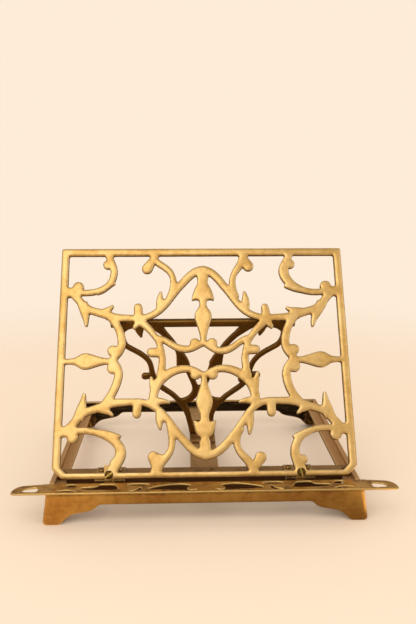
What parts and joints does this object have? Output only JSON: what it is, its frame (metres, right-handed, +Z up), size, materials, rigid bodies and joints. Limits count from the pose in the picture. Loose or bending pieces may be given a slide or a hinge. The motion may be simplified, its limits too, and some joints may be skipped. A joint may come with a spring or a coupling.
{
  "type": "folding book stand",
  "caption": "Folding brass book stand: a pierced scrollwork panel hinged on a footed base, with a ledge for the book and a swinging strut that props the panel on a toothed rail.",
  "frame": {"origin": "on the table, under the middle of the stand's length and depth", "axes": "+X to the reader's right, +Y away from the reader, +Z up"},
  "size_m": [0.306, 0.214, 0.2054],
  "materials": {
    "panel_brass": "satin",
    "base_brass": "satin",
    "ledge_brass": "satin",
    "strut_brass": "satin",
    "hinge_brass": "satin",
    "screw_brass": "satin",
    "pin_steel": "satin"
  },
  "bodies": {
    "base": {"front_apron": "base_brass", "rear_apron": "base_brass", "left_side_rail": "base_brass", "right_side_rail": "base_brass", "corner_blocks": "base_brass", "corner_screws": "screw_brass", "book_ledge": "ledge_brass", "ledge_screws": "screw_brass", "hinge_crossbar": "base_brass", "crossbar_screws": "screw_brass", "toothed_rail": "base_brass", "rail_screws": "screw_brass", "left_base_leaf": "hinge_brass", "right_base_leaf": "hinge_brass", "leaf_screws": "screw_brass", "hinge_pins": "pin_steel"},
    "panel": {"back_panel": "panel_brass", "left_panel_leaf": "hinge_brass", "right_panel_leaf": "hinge_brass", "panel_screws": "screw_brass", "left_strut_lug": "panel_brass", "right_strut_lug": "panel_brass", "lug_screws": "screw_brass"},
    "strut": {"strut": "strut_brass", "strut_pins": "pin_steel"}
  },
  "joints": [
    {"name": "panel_tilt", "type": "hinge", "parent": "base", "child": "panel", "pos_m": [0, -0.078, 0.0253], "axis": [1, 0, 0], "range_deg": [0, 29.5]},
    {"name": "strut_swing", "type": "hinge", "parent": "panel", "child": "strut", "pos_m": [0, -0.01177, 0.14236], "axis": [-1, 0, 0], "range_deg": [0, 49]}
  ],
  "couplings": [
    {"joint": "strut_swing", "follows": "panel_tilt", "ratio": 1.661}
  ]
}
